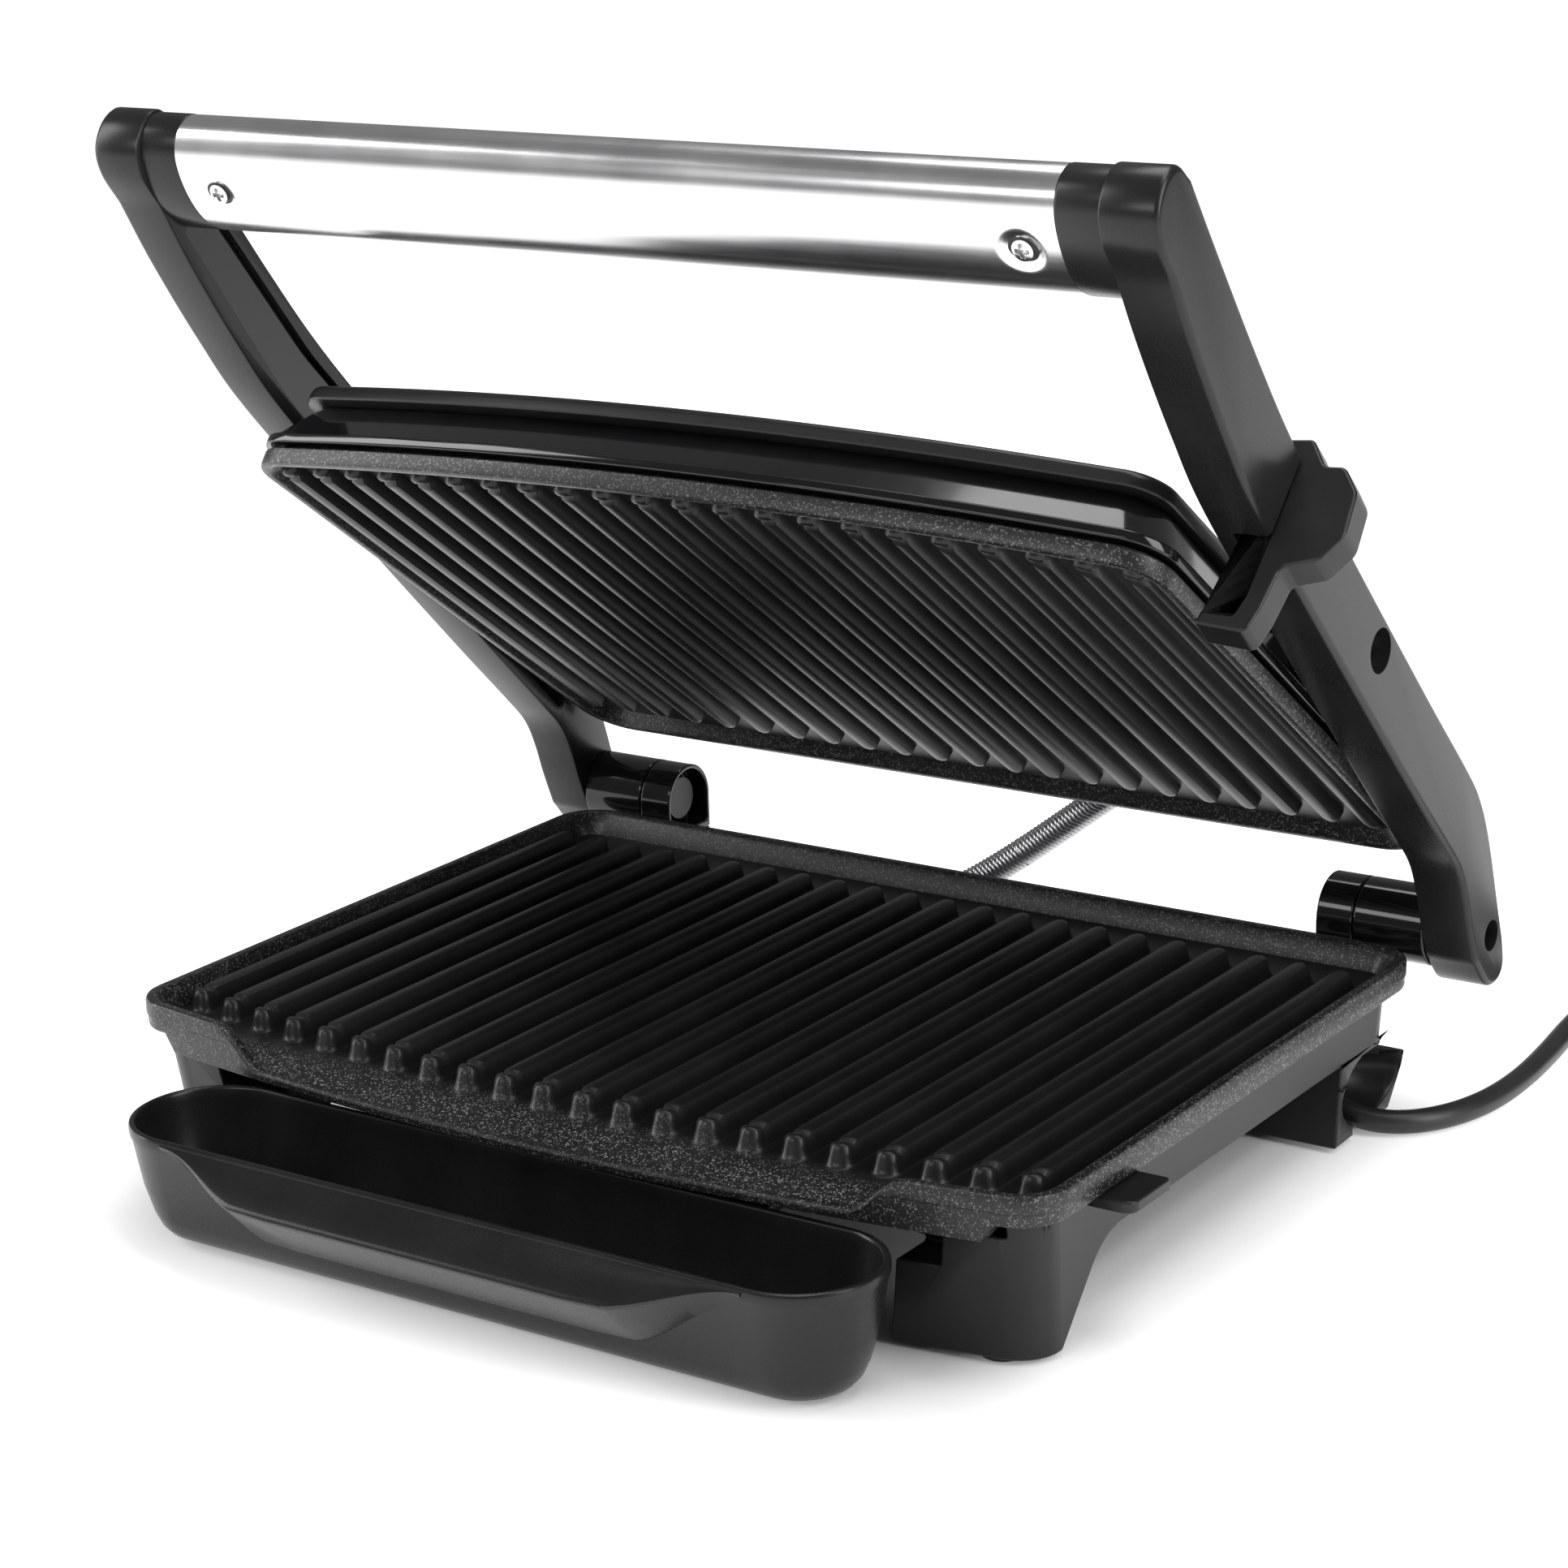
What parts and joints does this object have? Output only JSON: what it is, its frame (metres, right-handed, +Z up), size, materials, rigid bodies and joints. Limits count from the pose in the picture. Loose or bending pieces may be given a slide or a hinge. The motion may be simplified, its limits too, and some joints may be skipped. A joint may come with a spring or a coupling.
{
  "type": "panini press",
  "caption": "Open two-plate contact grill with ribbed plates, a floating lid on hinged arms, bar handle, side latch and front drip tray.",
  "frame": {"origin": "on the table, at the centre of the four feet, under the middle of the lower plate", "axes": "+Z up, +X to the right of someone facing the grill, -Y towards that person (handle and drip tray side)"},
  "size_m": [0.4215, 0.4525, 0.2962],
  "materials": {
    "satin_black": "fine satin texture",
    "tray_black": "satin",
    "gloss_black": "polished",
    "arm_black": "semi-gloss",
    "panel_black": "satin",
    "latch_black": "fine satin",
    "plate_coating": "die-cast with black non-stick coating",
    "stainless": "satin stainless tube",
    "core_black": "moulded",
    "bright_steel": "plated",
    "heater_steel": "plain",
    "ceramic": "ceramic",
    "lens": "tinted lens",
    "foot_rubber": "moulded",
    "cord_black": "smooth sheath",
    "pin_brass": "plated",
    "conduit_steel": "close-wound spring sleeve"
  },
  "bodies": {
    "base": {"base_housing": "satin_black", "lower_grill_plate": "plate_coating", "lower_heating_element": "heater_steel", "lower_heat_shield": "heater_steel", "lower_thermostat": "ceramic", "base_screws": "bright_steel", "terminal_block": "ceramic", "latch_catch": "satin_black", "rubber_feet": "foot_rubber", "tray_rails": "satin_black", "left_hinge_bracket": "gloss_black", "right_hinge_bracket": "gloss_black", "power_cord": "cord_black", "strain_relief": "foot_rubber", "cord_coil": "cord_black", "cord_tail": "cord_black", "plug_body": "cord_black", "plug_pins": "pin_brass", "flex_conduit": "conduit_steel", "lower_grommet": "foot_rubber"},
    "arms": {"left_arm": "arm_black", "left_arm_cover": "gloss_black", "left_hinge_collar": "gloss_black", "left_hinge_pin": "bright_steel", "left_float_pivot": "bright_steel", "right_arm": "arm_black", "right_arm_cover": "gloss_black", "right_hinge_collar": "gloss_black", "right_hinge_pin": "bright_steel", "right_float_pivot": "bright_steel", "handle_sleeve": "stainless", "handle_core": "core_black", "handle_screws": "bright_steel", "latch_pin": "bright_steel"},
    "lid": {"upper_housing": "gloss_black", "lid_screws": "bright_steel", "top_panel": "panel_black", "indicator_lenses": "lens", "upper_grill_plate": "plate_coating", "upper_heating_element": "heater_steel", "upper_heat_shield": "heater_steel", "upper_thermostat": "ceramic", "upper_grommet": "foot_rubber"},
    "latch": {"latch": "latch_black"},
    "tray": {"drip_tray": "tray_black"}
  },
  "joints": [
    {"name": "lid_hinge", "type": "hinge", "parent": "base", "child": "arms", "pos_m": [0, 0.122, 0.054], "axis": [-1, 0, 0], "range_deg": [-44, 46], "deforming": ["flex_conduit"]},
    {"name": "plate_float", "type": "hinge", "parent": "arms", "child": "lid", "pos_m": [0, 0.04469, 0.15576], "axis": [-1, 0, 0], "range_deg": [-8.4, 8.1]},
    {"name": "latch_swing", "type": "hinge", "parent": "arms", "child": "latch", "pos_m": [0.1625, -0.00651, 0.20452], "axis": [0, -0.7193, 0.6947], "range_deg": [0, 12]},
    {"name": "tray_slide", "type": "slide", "parent": "base", "child": "tray", "axis": [0, -1, 0], "range_m": [0, 0.045]}
  ],
  "couplings": [
    {"joint": "plate_float", "follows": "lid_hinge", "ratio": -0.18182}
  ]
}
